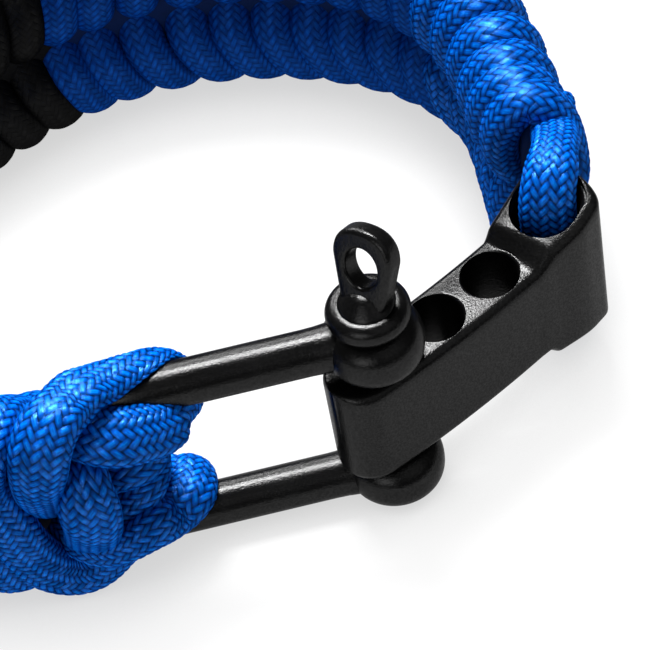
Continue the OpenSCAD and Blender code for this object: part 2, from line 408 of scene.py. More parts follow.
def metal_material(name, base, rough, spec, grain, edge):
    """Satin black coating with a fine grain."""
    m, nt = nodes_of(name)
    g = Net(nt)
    tc = g.node("ShaderNodeTexCoord")
    n1 = g.node("ShaderNodeTexNoise", noise_dimensions="3D")
    n1.inputs["Scale"].default_value = 5600.0
    n1.inputs["Detail"].default_value = 2.5
    n1.inputs["Roughness"].default_value = 0.6
    nt.links.new(tc.outputs["Object"], n1.inputs["Vector"])
    n2 = g.node("ShaderNodeTexNoise", noise_dimensions="3D")
    n2.inputs["Scale"].default_value = 260.0
    n2.inputs["Detail"].default_value = 3.0
    nt.links.new(tc.outputs["Object"], n2.inputs["Vector"])
    col = g.mixc(g.remap(n1.outputs["Fac"], 0.35, 0.7, 0.0, 1.0), tuple(c * 0.7 for c in base[:3]) + (1,), tuple(min(1, c * 1.35) for c in base[:3]) + (1,))
    bp = g.node("ShaderNodeBump")
    bp.inputs["Strength"].default_value = 1.0
    bp.inputs["Distance"].default_value = 1.0
    nt.links.new(g.math("MULTIPLY", n1.outputs["Fac"], grain), bp.inputs["Height"])
    df = g.node("ShaderNodeBsdfDiffuse")
    nt.links.new(col, df.inputs["Color"])
    nt.links.new(bp.outputs[0], df.inputs["Normal"])
    gl = g.node("ShaderNodeBsdfGlossy")
    gl.inputs["Color"].default_value = (1, 1, 1, 1)
    nt.links.new(g.remap(n2.outputs["Fac"], 0.3, 0.7, rough - 0.04, rough + 0.05), gl.inputs["Roughness"])
    nt.links.new(bp.outputs[0], gl.inputs["Normal"])
    lw = g.node("ShaderNodeLayerWeight")
    lw.inputs["Blend"].default_value = 0.5
    shine = g.math("ADD", g.math("MULTIPLY", g.math("POWER", lw.outputs["Facing"], 5.0), edge), spec)
    shine = g.math("MULTIPLY", shine, g.remap(n1.outputs["Fac"], 0.36, 0.66, 0.82, 1.28))
    mx = g.node("ShaderNodeMixShader")
    nt.links.new(shine, mx.inputs[0])
    nt.links.new(df.outputs[0], mx.inputs[1])
    nt.links.new(gl.outputs[0], mx.inputs[2])
    out = g.node("ShaderNodeOutputMaterial")
    nt.links.new(mx.outputs[0], out.inputs[0])
    return m


# In each set of three the first colour is painted shade for the gaps between floats, the last a painted highlight for
# the float crowns; the middle one is the cord's own colour.
BLUE_GAP_SHADE, BLUE_MID, BLUE_PAINTED_HIGHLIGHT = (0.0, 0.004, 0.03, 1), (0.0, 0.060, 0.37, 1), (0.0, 0.15, 0.60, 1)
BLACK_GAP_SHADE, BLACK_MID, BLACK_PAINTED_HIGHLIGHT = (0.002, 0.002, 0.002, 1), (0.009, 0.009, 0.01, 1), (0.03, 0.03, 0.033, 1)
SHINE_BLUE, SHINE_BLACK = (0.075, 0.31, 1.0, 1), (0.6, 0.6, 0.6, 1)
# The blue cord is made three times: the near and far copies are darker than the fine one, painted shade for the band's
# wraps that lie in shade, the far one darkest for the back of the band. In every copy the first and last colours are
# painted gap shade and painted highlight.
blue_fine = cord_material("blue_cord_fine", BLUE_GAP_SHADE, BLUE_MID, BLUE_PAINTED_HIGHLIGHT, 0.00003, 0.26, 0.085, SHINE_BLUE)
blue_near_shaded = cord_material("blue_cord_near_painted_shade", (0.0, 0.004, 0.028, 1), (0.0, 0.046, 0.29, 1), (0.0, 0.11, 0.48, 1), 0.00003, 0.3, 0.07, SHINE_BLUE)
blue_far_shaded = cord_material("blue_cord_far_painted_shade", (0.0, 0.008, 0.06, 1), (0.0, 0.028, 0.195, 1), (0.0, 0.062, 0.32, 1), 0.00005, 0.42, 0.045, SHINE_BLUE, 0.35)
black_far = cord_material("black_cord_far", (0.0004, 0.0004, 0.0004, 1), (0.0014, 0.0014, 0.0015, 1), (0.003, 0.003, 0.0033, 1), 0.00005, 0.42, 0.012, SHINE_BLACK, 0.4)
metal = metal_material("black_coating", (0.0018, 0.0018, 0.0019), 0.22, 0.018, 0.00003, 0.25)


def core_material(name, colour):
    m, nt = nodes_of(name)
    g = Net(nt)
    tc = g.node("ShaderNodeTexCoord")
    n1 = g.node("ShaderNodeTexNoise", noise_dimensions="3D")
    n1.inputs["Scale"].default_value = 1500.0
    nt.links.new(tc.outputs["Object"], n1.inputs["Vector"])
    bs = g.node("ShaderNodeBsdfPrincipled")
    col = g.mixc(n1.outputs["Fac"], tuple(c * 0.6 for c in colour[:3]) + (1,), colour)
    nt.links.new(col, bs.inputs["Base Color"])
    bs.inputs["Roughness"].default_value = 0.8
    bs.inputs["Specular IOR Level"].default_value = 0.1
    out = g.node("ShaderNodeOutputMaterial")
    nt.links.new(bs.outputs[0], out.inputs[0])
    return m


# The blue core is the blue cord painted near-black: painted shade for the cords inside the band and the knot, which lie
# in shade.
core_blue_shaded = core_material("core_blue_shaded", (0.0, 0.012, 0.07, 1))
core_black = core_material("core_black", (0.003, 0.003, 0.003, 1))

# ---------------------------------------------------------------- knot round the shackle

KNOT = {
    "knot_upper_wrap": [[-27.4,-0.9,7.0,0.0,-0.63,0.78,2.3,1.5,0.0],[-25.3,-2.9,8.1,0.02,-0.55,0.83,2.4,1.6,0.0],[-23.56,-4.25,8.5,0.02,-0.55,0.83,2.5,1.65,0.0],[-21.85,-4.6,8.23,0.0,-0.63,0.78,2.5,1.65,0.0],[-20.24,-4.2,7.66,0.1,-0.64,0.76,2.45,1.65,0.0],[-18.45,-3.3,6.9,0.26,-0.72,0.64,2.4,1.6,0.0],[-17.24,-2.0,6.34,0.53,-0.81,0.25,2.35,1.45,0.0],[-17.04,-0.99,5.46,0.18,-0.08,-0.98,2.3,1.2,0.05],[-17.11,0.83,5.97,-0.02,0.5,-0.87,2.35,1.1,0.1],[-17.38,1.99,7.38,-0.04,0.91,-0.42,2.4,0.95,0.14],[-18.49,2.02,9.24,-0.04,0.98,0.21,2.45,0.8,0.16],[-19.57,1.3,10.36,-0.03,0.78,0.63,2.5,0.72,0.17],[-20.68,0.61,10.93,-0.02,0.53,0.85,2.5,0.75,0.17],[-21.77,-0.1,11.19,-0.08,0.27,0.96,2.5,0.9,0.13],[-23.03,-0.97,11.39,-0.17,-0.01,0.98,2.5,1.15,0.07],[-24.09,-1.8,11.69,-0.14,-0.02,0.99,2.5,1.35,0.0],[-25.51,-3.0,11.65,-0.17,-0.18,0.97,2.5,1.65,0.0],[-26.63,-4.3,11.88,-0.22,-0.33,0.92,2.55,1.65,0.0],[-27.53,-5.3,11.42,-0.16,-0.47,0.87,2.6,1.65,0.0],[-28.27,-6.1,10.41,-0.09,-0.57,0.81,2.6,1.65,0.0],[-28.75,-6.4,8.9,-0.12,-0.68,0.72,2.55,1.65,0.0],[-29.17,-6.2,6.96,-0.16,-0.85,0.5,2.35,1.65,0.0],[-29.51,-5.2,4.16,-0.16,-0.99,-0.01,2.1,1.65,0.0],[-29.65,-3.4,0.64,-0.2,-0.82,-0.54,1.8,1.65,0.0],[-29.55,-1.0,-2.76,-0.19,-0.62,-0.76,1.8,1.65,0.0]],
    "knot_lower_outer": [[-35.7,-1.2,6.8,-0.15,-0.3,0.94,2.3,1.5,0.0],[-35.05,-3.6,5.29,-0.15,-0.43,0.89,2.45,1.65,0.0],[-33.97,-4.3,2.73,-0.17,-0.51,0.84,2.45,1.65,0.0],[-33.07,-4.8,-0.08,-0.19,-0.59,0.79,2.45,1.65,0.0],[-32.4,-5.0,-2.98,-0.21,-0.66,0.72,2.45,1.65,0.0],[-31.42,-4.9,-5.87,-0.14,-0.78,0.61,2.35,1.65,0.0],[-30.01,-4.7,-8.12,-0.07,-0.87,0.49,2.15,1.65,0.0],[-28.5,-4.7,-8.87,-0.1,-0.92,0.38,2.05,1.65,0.0],[-26.98,-4.7,-8.7,-0.02,-0.97,0.24,1.95,1.65,0.0],[-25.61,-4.6,-7.93,-0.04,-0.99,0.1,1.85,1.55,0.0],[-24.29,-4.3,-7.07,-0.06,-1.0,-0.04,1.7,1.4,0.0],[-23.06,-3.8,-6.4,-0.04,-1.0,0.02,1.5,1.2,0.0],[-21.97,-3.4,-5.9,-0.02,-1.0,0.1,1.3,1.0,0.0]],
    "knot_lower_wrap": [[-31.5,2.6,-6.9,0.0,1.0,0.1,2.2,1.65,0.0],[-28.0,4.0,-7.4,0.0,1.0,-0.1,2.2,1.65,0.0],[-24.0,4.5,-8.0,0.1,0.98,-0.2,2.2,1.65,0.0],[-20.5,4.0,-8.7,0.28,0.94,-0.19,2.2,1.5,0.0],[-18.07,2.5,-9.22,0.1,0.98,-0.17,2.25,1.3,0.06],[-17.39,2.09,-7.02,0.47,0.77,0.43,2.3,1.3,0.08],[-17.33,0.8,-5.78,0.48,0.43,0.76,2.3,1.3,0.08],[-17.7,-1.03,-5.36,0.21,-0.08,0.97,2.3,1.35,0.06],[-18.39,-2.05,-5.45,0.0,-0.4,0.92,2.25,1.35,0.0],[-19.71,-3.05,-5.63,0.05,-0.6,0.8,2.1,1.4,0.0],[-21.04,-4.9,-4.24,0.17,-0.72,0.67,1.95,1.45,0.0],[-22.49,-5.5,-4.44,0.1,-0.78,0.61,1.75,1.5,0.0],[-24.0,-5.6,-5.08,-0.06,-0.82,0.57,1.65,1.5,0.0],[-25.44,-5.3,-5.6,-0.07,-0.87,0.49,1.6,1.5,0.0],[-26.95,-4.6,-5.77,-0.07,-0.87,0.49,1.5,1.4,0.0],[-28.22,-3.4,-5.82,-0.06,-0.82,0.57,1.5,1.4,0.0],[-29.31,-2.0,-5.91,0.0,-0.63,0.78,1.6,1.65,0.0]],
    "knot_middle_turn": [[-25.73,-1.5,3.55,0.19,0.62,0.76,1.6,1.65,0.0],[-25.29,-4.0,5.05,-0.26,0.32,0.91,1.6,1.65,0.0],[-25.29,-5.6,5.1,-0.19,-0.25,0.95,1.85,1.65,0.0],[-25.53,-6.6,4.14,0.02,-0.55,0.83,2.3,1.65,0.0],[-25.7,-7.1,2.6,0.05,-0.64,0.77,2.55,1.65,0.0],[-25.83,-6.9,0.49,-0.07,-0.87,0.49,2.5,1.65,0.0],[-26.16,-5.9,-2.12,-0.16,-0.99,-0.01,2.4,1.5,0.0],[-26.66,-4.2,-4.93,-0.2,-0.69,-0.69,2.3,1.4,0.0],[-27.28,-2.0,-7.22,-0.1,0.15,-0.98,2.2,1.65,0.0]],
    "knot_inner_upper": [[-26.56,-0.6,-1.4,0.0,-0.63,0.78,2.0,1.65,0.0],[-24.64,-1.8,0.38,0.0,-0.63,0.78,2.0,1.65,0.0],[-23.01,-2.4,1.27,0.0,-0.63,0.78,2.0,1.65,0.0],[-21.7,-2.4,1.45,0.1,-0.64,0.76,2.0,1.65,0.0],[-20.66,-1.6,1.26,0.5,-0.62,0.6,2.0,1.65,0.0],[-20.07,-0.3,1.18,0.96,-0.27,0.03,2.0,1.65,0.0],[-19.94,1.2,1.15,0.9,0.4,-0.1,2.0,1.6,0.0],[-20.7,2.5,1.05,0.6,0.8,0.0,2.0,1.5,0.0],[-22.2,3.1,0.9,0.1,1.0,0.0,2.0,1.5,0.0],[-24.2,2.6,0.7,-0.2,1.0,0.0,2.0,1.5,0.0]],
    "knot_inner_lower": [[-26.76,-0.8,-6.98,0.0,-0.63,0.78,1.8,1.65,0.0],[-24.88,-2.4,-4.35,0.0,-0.63,0.78,1.8,1.65,0.0],[-23.32,-3.0,-2.97,0.0,-0.63,0.78,1.8,1.65,0.0],[-21.96,-2.8,-2.25,0.19,-0.65,0.74,1.8,1.65,0.0],[-21.02,-2.0,-1.83,0.56,-0.61,0.56,1.8,1.65,0.0],[-20.48,-0.6,-1.73,0.96,-0.27,0.03,1.8,1.65,0.0],[-20.35,1.0,-1.6,0.9,0.4,-0.1,1.8,1.6,0.0],[-21.1,2.3,-2.0,0.6,0.8,0.0,1.9,1.5,0.0],[-22.5,3.0,-2.5,0.1,1.0,0.0,2.0,1.5,0.0],[-24.3,2.6,-3.0,-0.2,1.0,0.0,2.0,1.5,0.0]],
}
KNOT["turn_last_upper"] = [[-28.51,3.6,0.57,0.37,0.93,-0.03,2.45,1.65,0.0],[-29.28,2.6,3.28,0.35,0.92,0.18,2.45,1.65,0.0],[-30.13,1.4,6.03,0.3,0.74,0.6,2.45,1.65,0.0],[-31.0,-0.4,8.75,0.0,0.49,0.87,2.45,1.65,0.0],[-31.89,-2.6,10.69,-0.07,-0.07,0.99,2.45,1.65,0.0],[-32.8,-4.3,10.77,-0.06,-0.45,0.89,2.45,1.65,0.0],[-33.53,-5.2,9.74,-0.1,-0.61,0.78,2.45,1.65,0.0],[-34.08,-5.2,7.7,-0.07,-0.87,0.49,2.45,1.65,0.0],[-34.59,-4.2,4.53,-0.17,-0.98,-0.08,2.3,1.65,0.0],[-34.91,-2.4,0.72,-0.2,-0.76,-0.62,2.2,1.65,0.0]]
KNOT["turn_last_lower"] = [[-38.7,-1.2,6.4,-0.05,-0.35,0.93,2.3,1.5,0.0],[-38.16,-3.6,4.93,0.0,-0.63,0.78,2.45,1.65,0.0],[-37.35,-4.3,2.75,-0.1,-0.61,0.78,2.45,1.65,0.0],[-36.58,-4.8,0.27,-0.12,-0.68,0.72,2.45,1.65,0.0],[-35.69,-4.9,-2.72,-0.02,-0.7,0.71,2.45,1.65,0.0],[-34.65,-4.9,-5.18,-0.07,-0.87,0.49,2.45,1.65,0.0],[-33.51,-4.5,-7.38,-0.06,-0.99,-0.13,2.45,1.65,0.0],[-32.22,-3.8,-8.24,-0.1,-0.83,-0.55,2.0,1.65,0.0],[-30.95,-3.0,-8.46,0.0,-0.71,-0.7,1.7,1.65,0.0]]
FINE_N, FINE_STEP = 116, 0.125
BACK = {}
for tag, x, lift in (("near", -24.6, 0.0), ("far", -29.2, 0.3)):
    BACK["knot_back_" + tag] = [[x + dx, y + lift, z, 0.0, ny, nz, 2.4, 1.5] for dx, y, z, ny, nz in (
        (0.5, -0.6, 6.3, 0.1, 1.0), (0.2, 1.6, 5.6, 0.55, 0.85), (0.0, 3.1, 3.9, 0.85, 0.5), (0.0, 3.9, 1.4, 1.0, 0.15), (0.0, 4.1, -1.4, 1.0, 0.0),
        (0.0, 3.9, -4.2, 1.0, -0.15), (0.0, 3.0, -6.8, 0.85, -0.5), (0.2, 1.4, -8.4, 0.5, -0.85), (0.5, -0.8, -8.6, 0.0, -1.0))]

for i, (name, rows) in enumerate(KNOT.items()):
    V, ring = tube(rows, FINE_STEP, FINE_N, amp=0.18, phase=3.3 * i)
    V[..., 2] = np.maximum(V[..., 2], -11.02)
    o = add_mesh(name, [(V, ring)], blue_fine)
    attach(o, "bracelet")
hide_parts("shackle_knot")
for i, (name, rows) in enumerate(BACK.items()):
    V, ring = tube(rows, 0.2, 64, amp=0.16, phase=2.1 * i)
    o = add_mesh(name, [(V, ring)], blue_fine)
    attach(o, "bracelet")

# A dark filler tube inside the knot: painted shade filling the gaps between its turns.
V, ring = tube([[x, 0.3, z, 0, 1, 0, 8.0 if x < -24 else 6.2, 2.0] for x, z in ((-34, 0), (-31, -0.6), (-28, -0.8), (-25, -0.9), (-22.3, -0.8))], 0.8, 28, p=3.0, a=6.6, b=2.0)
knot_core_painted_shade = add_mesh("knot_core_painted_shade", [(V, ring)], core_blue_shaded)
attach(knot_core_painted_shade, "bracelet")

# ---------------------------------------------------------------- woven band

VALLEYS = [1.9, 5.7, 8.55, 11.4, 15.8, 20.2, 24.05, 27.8, 32.3, 36.35, 40.1, 44.4, 48.65, 53.05, 58.2, 62.25, 65.92]
VALLEYS += [65.92 + 4.12 * k for k in range(1, 8)]
VALLEYS += [94.76 + 4.185 * k for k in range(1, 14)]
CENTRES = [(a + b) / 2 for a, b in zip(VALLEYS, VALLEYS[1:])]


def wrap_rows(s, side, lean, tilt, shift=0.0, a=2.3, b=1.75, wr=2.75):
    """One turn of cord round one edge of the band. side is +1 for the upper row; lean gives the shift along the band at the inner valley, the edge, the outer side and the outer valley."""
    rows = []
    for th in (-74, -52, -34, -16, 4, 26, 48, 70, 90, 110, 132, 154, 176, 196, 214, 232, 254):
        r = math.radians(th)
        w, z = wr * math.cos(r), 5.2 + 4.25 * math.sin(r)
        if th < -34 or th > 214:
            k = (-34 - th) / 40 if th < 0 else (th - 214) / 40
            w *= 1 - 0.55 * k
            z -= 0.5 * k
        ds = float(np.interp(th, (-25, 90, 150, 205), lean))
        p, along, across = band_point(s + ds, w + shift, side * z)
        n = unit(math.cos(r) * 4.25 * across + side * math.sin(r) * 2.75 * np.array([0, 0, 1.0]))
        n = unit(n * math.cos(math.radians(tilt)) + along * math.sin(math.radians(tilt)))
        rows.append(list(p) + list(n) + [a, b])
    return rows


def stretch(first, last, fine, name, near, far):
    """The wraps first..last of both rows; the wraps numbered in fine get a braid in their mesh."""
    made = []
    for side, tag in ((1, "upper"), (-1, "lower")):
        parts = {True: [], False: []}
        for k in range(first, last):
            s = CENTRES[k]
            if side > 0:
                lean = [0.8, -0.6, -0.45, -0.3]
                shift = float(np.interp(s, (3, 6, 9, 16, 34), (0.35, 1.1, 1.3, 1.2, 0.0)))
                wr = 2.75
            else:
                s -= 0.7
                lean = [1.9, -1.75, -1.4, -1.0]
                shift = float(np.interp(s, (2, 5, 9, 16), (1.5, 1.3, 0.9, 0.0)))
                wr = float(np.interp(s, (2, 5, 9, 16), (1.9, 2.1, 2.4, 2.75)))
            if k == 0:
                lean = [0.7, 0.7, -0.2, -3.0] if side > 0 else [2.0, 0.2, 0.2, 0.2]
            if k == 1 and side > 0:
                lean = [0.8, -0.4, -0.6, -1.6]
            if k in fine:
                V, ring = tube(wrap_rows(s, side, lean, 0, shift, wr=wr), 0.19, 72, amp=0.16, p=2.05, a=2.3, b=1.75, phase=1.7 * k)
            else:
                V, ring = tube(wrap_rows(s, side, lean, 0, shift, a=2.16, wr=wr), 0.7, 30, p=2.0, a=2.16, b=1.75, phase=1.7 * k)
            V[..., 2] = np.maximum(V[..., 2], -11.1)
            parts[k in fine].append((V, ring))
        for f in (True, False):
            if parts[f]:
                o = add_mesh(name + "_" + tag + ("_near" if f else "_far"), parts[f], near if f else far)
                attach(o, "bracelet")
                made.append(o)
    return made


bar_side = stretch(0, 16, set(range(6)), "wraps_bar_side", blue_near_shaded, blue_far_shaded)
middle = stretch(16, 23, set(), "wraps_middle", black_far, black_far)
shackle_side = stretch(23, 36, {34, 35}, "wraps_shackle_side", blue_near_shaded, blue_far_shaded)
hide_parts("band_blue_bar_side")
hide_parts("band_black_middle")
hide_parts("band_blue_shackle_side")


def core(name, s0, s1, material):
    rows = []
    for s in np.linspace(s0, s1, max(4, int((s1 - s0) / 3))):
        p, along, across = band_point(s, 0, 0)
        rows.append(list(p) + list(across) + [8.2, 2.0])
    V, ring = tube(rows, 1.2, 28, p=3.0, a=8.2, b=2.0)
    o = add_mesh(name, [(V, ring)], material)
    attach(o, "bracelet")
    return o


core("core_bar_side", 2.2, 65.4, core_blue_shaded)
core("core_middle", 65.4, 94.9, core_black)
rows = []
for s in np.linspace(1.6, 42, 22):
    p, along, across = band_point(s, float(np.interp(s, (26, 40), (-1.75, -0.7))) + 0.8 * float(np.interp(s, (3, 6, 9, 16, 26), (0.4, 1.0, 1.1, 0.9, 0.0))), -0.1)
    rows.append(list(p) + list(-across) + [2.4, 1.3])
V, ring = tube(rows, 0.5, 40, a=2.4, b=1.3)
o = add_mesh("core_cord_outer", [(V, ring)], blue_near_shaded)
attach(o, "bracelet")
core("core_shackle_side", 94.9, 148.6, core_blue_shaded)

# the cord's loop through the bar's last hole
hole = np.array([16.3119, 11.3963])
into = np.array([17.9, 17.2])
aim = unit(into - hole)
side_dir = np.array([aim[1], -aim[0], 0.0])
loop_rows = []
half = []
for d, z, ny, nz in ((0, 0, -1, 0), (0, 3.0, -1, 0), (0, 5.6, -1, 0.05), (0.25, 7.4, -0.9, 0.4), (1.1, 8.75, -0.6, 0.8), (2.5, 9.4, -0.1, 1), (4.2, 9.3, 0.15, 1), (6.0, 8.6, 0.3, 1), (8.0, 7.7, 0.3, 1), (10.0, 7.0, 0.2, 1), (12.5, 6.6, 0, 1)):
    p = hole + aim * d + side_dir[:2] * float(np.interp(d, (0, 3, 6, 9, 12), (0.5, 0.95, 0.95, 0.5, 0.0)))
    half.append((p, z, ny, nz))
for d, (p, z, ny, nz) in list(zip((0, 0, 0, 0.25, 1.1, 2.5, 4.2, 6.0, 8.0, 10.0, 12.5), half))[::-1][:-1]:
    p = p - side_dir[:2] * float(np.interp(d, (3, 6, 9, 12), (0.0, 1.0, 1.9, 2.2)))
    loop_rows.append([p[0], p[1], -z, aim[0] * ny, aim[1] * ny, -nz, 2.45, 1.55])
for p, z, ny, nz in half:
    loop_rows.append([p[0], p[1], z, aim[0] * ny, aim[1] * ny, nz, float(np.interp(z, (7.4, 9.3), (2.45, 2.3))) if ny < 0 else 2.05, 1.55])
V, ring = tube(loop_rows, FINE_STEP, FINE_N, amp=0.18, a=2.4, b=1.55, phase=0.4)
loop = add_mesh("loop_through_bar", [(V, ring)], blue_fine)
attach(loop, "bracelet")
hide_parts("bar_loop")

# ---------------------------------------------------------------- metal

def mesh_object(name, verts, faces, material, angle=35.0):
    """verts in fit mm; smooth, with edges sharper than the angle kept crisp."""
    me = bpy.data.meshes.new(name)
    me.from_pydata([tuple(v) for v in to_row(verts)], [], [list(f) for f in faces])
    me.validate()
    import bmesh
    bm = bmesh.new()
    bm.from_mesh(me)
    bmesh.ops.recalc_face_normals(bm, faces=bm.faces)
    bm.to_mesh(me)
    bm.free()
    me.polygons.foreach_set("use_smooth", np.ones(len(me.polygons), bool))
    me.set_sharp_from_angle(angle=math.radians(angle))
    ob = bpy.data.objects.new(name, me)
    bpy.context.scene.collection.objects.link(ob)
    me.materials.append(material)
    return ob


def grid(P, wrap_rows=False):
    """P: (R, n, 3) closed round the second index; capped at both ends, or closed round the first index too."""
    R, n = P.shape[:2]
    faces = []
    for i in range(R if wrap_rows else R - 1):
        j = (i + 1) % R
        faces += [(i * n + k, i * n + (k + 1) % n, j * n + (k + 1) % n, j * n + k) for k in range(n)]
    if not wrap_rows:
        faces += [tuple(range(n))[::-1], tuple(range((R - 1) * n, R * n))]
    return P.reshape(-1, 3), faces


def join(parts):
    verts, faces, base = [], [], 0
    for v, f in parts:
        verts.append(v)
        faces += [tuple(i + base for i in q) for q in f]
        base += len(v)
    return np.concatenate(verts), faces


def revolve(profile, n=96, closed=False, at=(0.0, 0.0)):
    """profile: rows of radius and height."""
    f = np.linspace(0, 2 * np.pi, n, endpoint=False)
    P = np.array([[(at[0] + r * math.cos(t), at[1] + r * math.sin(t), z) for t in f] for r, z in profile])
    return grid(P, wrap_rows=closed)


def corner(cx, cz, r, a0, a1, n=8):
    return [(cx + r * math.cos(math.radians(a)), cz + r * math.sin(math.radians(a))) for a in np.linspace(a0, a1, n)]


# the bar: fine rings along its route, with the holes cut out
BAR = [(20, 9), (1.5, 10.5), (7.2, 0)]
BAR_START, BAR_LEN = -5.0, 28.7
back = chord(20, 9, BAR_START)
hr = math.radians(28.5)
BAR_BACK = (back[0] * math.cos(hr) - back[1] * math.sin(hr), back[0] * math.sin(hr) + back[1] * math.cos(hr), 28.5 + 9 * BAR_START / 20)


def bar_at(u):
    return walk(BAR, *BAR_BACK, u - BAR_START)


NEAR, FAR = -4.9, 23.7


def bar_ring(u):
    x, y, h = bar_at(u)
    hr = math.radians(h)
    near, far = max(u - NEAR, 0), max(FAR - u, 0)
    rn, rf = 3.0, 1.9
    e = rn - math.sqrt(max(0, rn * rn - (rn - near) ** 2)) if near < rn else 0.0
    e += rf - math.sqrt(max(0, rf * rf - (rf - far) ** 2)) if far < rf else 0.0
    t = min(1, max(0, (u - 14.9) / 2.3))
    k = min(1, max(0, (u - 15.5) / 1.0))
    top = 5.7 + 1.35 * (t * t * (3 - 2 * t)) + 1.7 * max(0, u - 17.2) / 6.5 - e * 0.06
    low = 5.7 + 1.3 * (k * k * (3 - 2 * k)) + 1.0 * max(0, u - 16.5) / 7.2 - e * 0.06
    a = 3.25 - e
    r = min(0.85, a * 0.9)
    sec = []
    for q, (sx, sz) in enumerate(((1, 1), (-1, 1), (-1, -1), (1, -1))):
        b = top if sz > 0 else low
        sec += corner(sx * (a - r), sz * (b - r), r, 90 * q, 90 * q + 90, 9)
        nx, nz = ((1, 1), (-1, 1), (-1, -1), (1, -1))[(q + 1) % 4]
        b = top if nz > 0 else low
        x0, z0 = sec[-1]
        x1, z1 = nx * (a - r) + r * math.cos(math.radians(90 * q + 90)), nz * (b - r) + r * math.sin(math.radians(90 * q + 90))
        m = 9 if q % 2 == 0 else 15
        sec += [(x0 + (x1 - x0) * k / m, z0 + (z1 - z0) * k / m) for k in range(1, m)]
    k = min(1, max(0, (u - 14.5) / 6))
    out = 1 + 1.15 * k * k * (3 - 2 * k) / 3.25
    sec = [(w * out if w < 0 else w, z) for w, z in sec]
    sec = [(w, z * (1 - 0.22 * min(1.0, (w / 3.25) ** 2) / 5.7)) for w, z in sec]
    return [(x - w * math.sin(hr), y + w * math.cos(hr), z) for w, z in sec]


stations = [NEAR + 3.0 * (1 - math.cos(math.radians(a))) for a in range(3, 90, 6)] + list(np.arange(NEAR + 3.2, FAR - 1.9, 0.25))
stations += [FAR - 1.9 * (1 - math.cos(math.radians(a))) for a in range(87, 2, -6)]
bar = mesh_object("bar_smooth", *grid(np.array([bar_ring(u) for u in stations])), metal, 30.0)
for i, u in enumerate((0.0, 6.33, 12.66, 20.0)):
    x, y, h = bar_at(u)
    r, top, rim = (2.5, 5.7, 0.28) if i < 3 else (3.05, 7.9, 0.6)
    if i == 3:
        x, y = x + 0.32 * math.sin(math.radians(h)), y - 0.32 * math.cos(math.radians(h))
    half = [(r + rim - rim * math.cos(math.radians(a)), top - rim + rim * math.sin(math.radians(a))) for a in (0, 15, 30, 45, 60, 75, 90)]
    half += [(r + rim + (0.0 if i < 3 else 0.3), 9.5)]
    prof = [(q, -z) for q, z in half[::-1]] + half
    cutter = mesh_object("cutter", *revolve(prof, 128, at=(x, y)), metal)
    md = bar.modifiers.new("hole", "BOOLEAN")
    md.operation, md.solver, md.object = "DIFFERENCE", "EXACT", cutter
    cut = bpy.data.meshes.new_from_object(bar.evaluated_get(bpy.context.evaluated_depsgraph_get()))
    bar.modifiers.clear()
    bar.data = cut
    bpy.data.objects.remove(cutter)
bar.data.polygons.foreach_set("use_smooth", np.ones(len(bar.data.polygons), bool))
bar.data.set_sharp_from_angle(angle=math.radians(30.0))
bar.data.materials.clear()
bar.data.materials.append(metal)
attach(bar, "bracelet")
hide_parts("adjuster_bar")

# the bow: two bead-like eyes and a swept rod
EYE = 4.3


def eye_part(bore, sign):
    prof = []
    for a in np.linspace(-64, 66, 27):
        c, q = math.cos(math.radians(a)), math.sin(math.radians(a))
        prof.append((EYE * abs(c) ** (2 / 2.7), 8.42 + 2.66 * math.copysign(abs(q) ** (2 / 2.7), q)))
    prof = [(r, min(10.98, max(5.83, z))) for r, z in prof]
    k = 0.22
    prof += [(bore + k * (1 - math.sin(math.radians(a))), 10.98 - k + k * math.cos(math.radians(a))) for a in (0, 30, 60, 90)]
    prof += [(bore, 8.4)]
    prof += [(bore + k * (1 - math.cos(math.radians(a))), 5.83 + k - k * math.sin(math.radians(a))) for a in (0, 30, 60, 90)]
    v, f = revolve([(r, sign * z) for r, z in prof], 96, closed=True)
    return v, f


route = [(-2.75, 8.65, 2.15), (-3.6, 8.65, 2.12), (-4.6, 8.65, 2.03), (-5.6, 8.65, 2.0)] + [(x, 8.65, 2.0) for x in np.arange(-6.5, -19.4, -0.9)]
route += [(-19.5 - 8.65 * math.sin(math.radians(a)), 8.65 * math.cos(math.radians(a)), 2.0) for a in range(0, 181, 4)]
route += [(x, -z, r) for x, z, r in route[:18][::-1]]
C = np.array([(x, 0, z) for x, z, r in route])
T = unit(np.gradient(C, axis=0))
N = np.cross(T, [0, 1.0, 0])
f = np.linspace(0, 2 * np.pi, 48, endpoint=False)
RR = np.array([r for x, z, r in route])[:, None, None]
P = C[:, None] + RR * (np.cos(f)[None, :, None] * N[:, None] + np.sin(f)[None, :, None] * np.array([0, 1.0, 0])[None, None])
v, faces = join([grid(P), eye_part(2.3, 1), eye_part(2.05, -1)])
lt = math.radians(2.4)
v = np.stack([v[:, 0] * math.cos(lt) - v[:, 1] * math.sin(lt), v[:, 0] * math.sin(lt) + v[:, 1] * math.cos(lt), v[:, 2]], 1)
bow = mesh_object("shackle_smooth", v, faces, metal, 40.0)
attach(bow, "bracelet")
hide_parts("shackle_bow")

